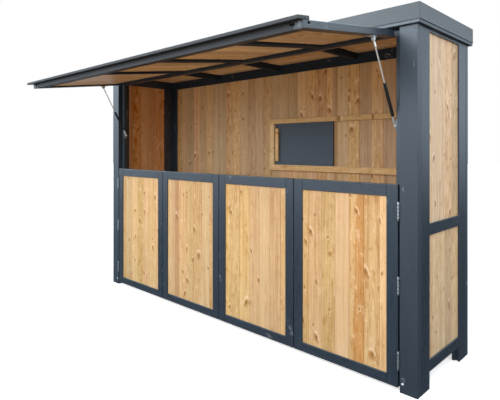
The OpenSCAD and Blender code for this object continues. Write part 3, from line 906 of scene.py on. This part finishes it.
class SHELTER_OT_roof(bpy.types.Operator):
    """Beam, rafters, deck, covering, fascia boards and the metal edge"""

    bl_idname = "shelter.roof"
    bl_label = "Roof"

    def execute(self, context):
        # The beam and the rafters take the copy of the paint with painted shade
        machined("front_beam", along=X, depth=Y, finish="painted_shade")
        machined("rafters", along=Y, depth=X, finish="painted_shade")
        boarded("roof_deck", X, Z, finish="inner_boards")
        self.covering()
        machined("fascia_boards")
        metalwork("edge_trim", slot="trim")
        return {"FINISHED"}

    def covering(self):
        """The membrane, with a lap across its middle and soft waves."""
        low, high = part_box("roof_cover")
        lap, waves = 0.0012, 0.0007
        columns, rows = 96, 24
        sheet = bmesh.new()
        grid = []
        for i in range(columns + 1):
            x = low.x + (high.x - low.x) * i / columns
            raised = lap if i > columns // 2 else 0.0
            line = []
            for j in range(rows + 1):
                y = low.y + (high.y - low.y) * j / rows
                wave = waves * (math.sin(5.1 * x + 2.3 * y) + math.sin(11.7 * x - 9.0 * y + 1.0)) / 2
                line.append(sheet.verts.new((x, y, high.z - lap - waves + raised + wave)))
            grid.append(line)
        for one, two in zip(grid, grid[1:]):
            for j in range(rows):
                sheet.faces.new((one[j], two[j], two[j + 1], one[j + 1]))
        rim = [e for e in sheet.edges if e.is_boundary]
        sides = bmesh.ops.extrude_edge_only(sheet, edges=rim)["geom"]
        for vertex in (v for v in sides if isinstance(v, bmesh.types.BMVert)):
            vertex.co.z = low.z
        bmesh.ops.triangle_fill(sheet, use_beauty=True, use_dissolve=True,
                                edges=[e for e in sheet.edges if e.is_boundary])
        piece = Piece("roof_cover_sheet")
        piece.add(sheet, X, Z)
        piece.build("shelter", "roof_membrane", "roof_cover", smooth=True)


class SHELTER_OT_doors(bpy.types.Operator):
    """The four counter doors, their hinges, and the battens that they close against"""

    bl_idname = "shelter.doors"
    bl_label = "Counter doors"

    def execute(self, context):
        machined("stop_battens")
        for number in range(1, 5):
            node = f"door_{number}_"
            framed_leaf(node + "frame", node + "panel", "shelter")
            boarded(node + "panel", Z, Y)
        metalwork("door_hinges")
        return {"FINISHED"}


class SHELTER_OT_hatch(bpy.types.Operator):
    """Rails, jambs, panel and handle of the sliding hatch"""

    bl_idname = "shelter.hatch"
    bl_label = "Sliding hatch"

    def execute(self, context):
        machined("hatch_rails", slot="natural_timber", along=X, depth=Z)
        # The jambs and the handle take the paler wood with painted highlight
        machined("hatch_jambs", slot="natural_timber", along=Z, depth=Y, finish="lit_pale_timber")
        machined("hatch_panel", "hatch", along=X, depth=Y, finish="painted_sheet")
        machined("hatch_handle", "hatch", slot="natural_timber", along=Z, depth=X, finish="lit_pale_timber")
        return {"FINISHED"}


class SHELTER_OT_flap(bpy.types.Operator):
    """The awning flap with its hinges, closing batten and strut brackets"""

    bl_idname = "shelter.flap"
    bl_label = "Awning flap"

    def execute(self, context):
        place = flap_place()
        # The outer rail and the batten take the copy of the paint with painted shade under the batten, and
        # the bars the copy with painted shade of the flap's underside
        framed_leaf("flap_frame", "flap_panels", "flap", place, "shaded_painted_edge", "painted_shade")
        boarded("flap_panels", Z, Y, "flap", place, finish="inner_boards")
        machined("flap_batten", "flap", along=X, depth=Y, place=place, finish="shaded_painted_edge")
        metalwork("flap_hinges_fixed")
        metalwork("flap_hinges_moving", "flap")
        metalwork("flap_brackets", "flap", finish="bright_plate")
        return {"FINISHED"}


class SHELTER_OT_struts(bpy.types.Operator):
    """The two gas struts and the plates that they stand on"""

    bl_idname = "shelter.struts"
    bl_label = "Gas struts"

    def execute(self, context):
        for side in LEFT_RIGHT:
            metalwork(f"strut_rod_{side}", f"rod_{side}", "strut_rod")
            self.tube(side)
        metalwork("strut_plates")
        return {"FINISHED"}

    def tube(self, side):
        """The black tube of a strut, and the bright fitting at its foot."""
        sizes = fittings()
        node = "strut_tube_" + side
        top = joint_named("strut_tilt_" + side)["pos_m"]
        place = facing(top, joint_named("strut_slide_" + side)["axis"])
        solid = solids_of(node, place)[0]
        foot = extent(solid)[1].z - sizes.strut_foot
        for name, finish, low, high in (("tube", None, None, foot), ("foot", "bright_plate", foot, None)):
            piece = Piece(f"strut_{name}_{side}_finish", place)
            piece.add(cut(solid, (None, None, low), (None, None, high)), ease=sizes.broken_edge)
            piece.build("tube_" + side, "strut_tube", node, smooth=True, finish=finish)
        solid.free()


class SHELTER_OT_stage(bpy.types.Operator):
    """The pale floor, the soft lights and the camera"""

    bl_idname = "shelter.stage"
    bl_label = "Stage"

    def execute(self, context):
        sizes = context.scene.shelter_stage
        self.floor(sizes)
        self.cards(sizes)
        self.sky(sizes)
        self.lights(sizes)
        self.camera(sizes)
        view = context.scene.view_settings
        view.view_transform = "Standard"
        view.look = "None"
        return {"FINISHED"}

    def floor(self, sizes):
        mesh = bpy.data.meshes.new("floor")
        disc = bmesh.new()
        bmesh.ops.create_circle(disc, cap_ends=True, segments=96, radius=sizes.floor_radius)
        disc.to_mesh(mesh)
        disc.free()
        graph = Graph(bpy.data.materials.new("Pale_floor"))
        cloud = graph.noise(graph.place(0.8, 0.8, 0.8), 3.0)
        pale = graph.mix(cloud, (0.90, 0.90, 0.90), (0.94, 0.94, 0.94))
        white = (1.0, 1.0, 1.0, 1.0)
        mesh.materials.append(
            graph.surface(Base_Color=pale, Roughness=0.8, Emission_Color=white, Emission_Strength=0.55))
        floor = bpy.data.objects.new("floor", mesh)
        floor.visible_diffuse = False
        floor.visible_glossy = False
        bpy.context.scene.collection.objects.link(floor)

    def cards(self, sizes):
        """Dark cloths under the floor, before the doors and beside the right wall. The floor doesn't
        show in soft light, so they keep the light from below off the feet of the walls."""
        high = CAD_BOX[1]
        reach, clear, sunk = 1.6, 0.02, -0.002
        graph = Graph(bpy.data.materials.new("Dark_cloth"))
        weave = graph.noise(graph.place(60.0, 60.0, 60.0))
        dark = graph.mix(weave, (0.03, 0.03, 0.03), (0.05, 0.05, 0.05))
        cloth = graph.surface(Base_Color=dark, Roughness=0.9)
        for name, x0, x1, y0, y1 in (
            ("front_card", -reach, reach, -clear - sizes.card, -clear),
            ("side_card", high[0] + clear, high[0] + clear + sizes.card, 0.0, high[1]),
        ):
            mesh = bpy.data.meshes.new(name)
            corners = [(x0, y0, sunk), (x1, y0, sunk), (x1, y1, sunk), (x0, y1, sunk)]
            mesh.from_pydata(corners, [], [(0, 1, 2, 3)])
            mesh.materials.append(cloth)
            card = bpy.data.objects.new(name, mesh)
            card.visible_camera = False
            card.visible_glossy = False
            bpy.context.scene.collection.objects.link(card)

    def sky(self, sizes):
        """A pale sky, brightest above the horizon, over darker ground. The camera sees plain white."""
        world = bpy.data.worlds.new("Surround")
        bpy.context.scene.world = world
        world.cycles.sampling_method = "NONE"
        graph = Graph(world)
        x, y, z = graph.parts(graph.node("ShaderNodeTexCoord")["Generated"])

        # The soft light is strongest from the front, a little right of its middle.
        even = x.rise(-0.7, 0.5) * 0.45 - y.rise(-0.2, 0.6) * 0.35 - x.rise(0.5, 1.0) * 0.8 + 0.8
        # Reflections are brightest above the horizon on the left, and dull straight behind.
        aside = (1.0 - x * 0.35) * ((x + 0.95) / 0.25).rise(-0.4, 1.0)
        glow = z.rise(0.12, 0.28) * (x * -1.0).rise(0.40, 0.60) * 0.9 + z.rise(0.10, 0.25) * 0.2 + 1.0
        behind = (1.0 - y.rise(0.55, 0.95) * 0.62) * (1.0 - y.rise(0.75, 0.95) * z.rise(0.12, 0.22) * 0.50)
        uneven = (aside * 0.8 + 0.2) * behind * glow

        height = z * 0.5 + 0.5
        soft = ((-1.0, 0.9), (-0.05, 1.0)), ((0.05, 1.0), (0.35, 1.0), (1.0, 0.5))
        crisp = ((-1.0, 0.9), (-0.12, 1.0)), ((0.02, 0.7), (0.20, 0.85), (0.45, 1.1), (1.0, 1.1))
        lit = self.bands(graph, height, even * sizes.sky, sizes.ground_colour, sizes.sky_colour, *soft)
        mirrored = self.bands(
            graph, height, uneven * sizes.gloss, sizes.paving_colour, sizes.mirrored_sky, *crisp)
        white = graph.node("ShaderNodeBackground", inputs={"Color": (1.0, 1.0, 1.0, 1.0)})[0]
        path = graph.node("ShaderNodeLightPath")
        shown = graph.node("ShaderNodeMixShader", inputs={0: path["Is Glossy Ray"], 1: lit, 2: mirrored})[0]
        shown = graph.node("ShaderNodeMixShader", inputs={0: path["Is Camera Ray"], 1: shown, 2: white})[0]
        graph.node("ShaderNodeOutputWorld", inputs={"Surface": shown})

    def bands(self, graph, height, strength, ground, sky, below, above):
        """A surround that changes from the ground to the horizon and up to the zenith. Below and above
        hold heights from -1 to 1, each with its share of the colour of the ground or the sky."""
        levels = [(z, ground, share) for z, share in below] + [(z, sky, share) for z, share in above]
        stops = [((z + 1) / 2, tuple(min(1.0, c * share) for c in tint)) for z, tint, share in levels]
        shade = graph.node("ShaderNodeValToRGB", {"stops": stops}, {"Fac": height})["Color"]
        return graph.node("ShaderNodeBackground", inputs={"Color": shade, "Strength": strength})[0]

    def lights(self, sizes):
        """A large soft panel before the shelter and above it, and a small bluish one to its right."""
        white, bluish = (1.0, 1.0, 1.0), (0.75, 0.88, 1.0)
        for name, place, aim, span, power, tint in (
            ("key", (1.0, -3.6, 3.5), (0.2, 0.0, 0.9), (5.0, 2.4), sizes.key, white),
            ("side", (3.4, 0.6, 3.6), (1.4, 0.6, 1.7), (2.0, 2.0), sizes.key * 0.15, bluish),
        ):
            data = bpy.data.lights.new(name, "AREA")
            data.color = tint
            data.shape = "RECTANGLE"
            data.size, data.size_y = span
            data.energy = power
            lamp = bpy.data.objects.new(name, data)
            lamp.matrix_world = facing(place, Vector(place) - Vector(aim))
            bpy.context.scene.collection.objects.link(lamp)

    def camera(self, sizes):
        """A level camera off the right front corner, which sees upright lines upright."""
        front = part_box("front_board_left")[0].y
        data = bpy.data.cameras.new("camera")
        data.lens = sizes.lens
        data.sensor_width = 36.0
        data.shift_y = -0.1028
        camera = bpy.data.objects.new("camera", data)
        camera.location = (2.5536, front - 2.3177, 1.2959)
        camera.rotation_euler = (math.radians(90.0), 0.0, math.radians(43.892))
        bpy.context.scene.collection.objects.link(camera)
        bpy.context.scene.camera = camera


OPERATORS = (
    SHELTER_OT_corners,
    SHELTER_OT_walls,
    SHELTER_OT_roof,
    SHELTER_OT_doors,
    SHELTER_OT_hatch,
    SHELTER_OT_flap,
    SHELTER_OT_struts,
    SHELTER_OT_stage,
)


class SHELTER_PT_panel(bpy.types.Panel):
    """The steps that finish the shelter"""

    bl_idname = "SHELTER_PT_panel"
    bl_label = "Barbecue shelter"
    bl_space_type = "VIEW_3D"
    bl_region_type = "UI"
    bl_category = "Shelter"

    def draw(self, context):
        for group in GROUPS:
            for name in GROUPS[group].__annotations__:
                self.layout.prop(getattr(context.scene, group), name)
        for operator in OPERATORS:
            self.layout.operator(operator.bl_idname)


GROUPS = {
    "shelter_timber": ShelterTimber,
    "shelter_fittings": ShelterFittings,
    "shelter_finish": ShelterFinish,
    "shelter_stage": ShelterStage,
}
CLASSES = (*GROUPS.values(), *OPERATORS, SHELTER_PT_panel)


def register():
    for made in CLASSES:
        bpy.utils.register_class(made)
    for name, group in GROUPS.items():
        setattr(bpy.types.Scene, name, PointerProperty(type=group))


def unregister():
    for name in GROUPS:
        delattr(bpy.types.Scene, name)
    for made in reversed(CLASSES):
        bpy.utils.unregister_class(made)


def main():
    register()
    bpy.ops.shelter.corners()
    bpy.ops.shelter.walls()
    bpy.ops.shelter.roof()
    bpy.ops.shelter.doors()
    bpy.ops.shelter.hatch()
    bpy.ops.shelter.flap()
    bpy.ops.shelter.struts()
    bpy.ops.shelter.stage()


if __name__ == "__main__":
    main()
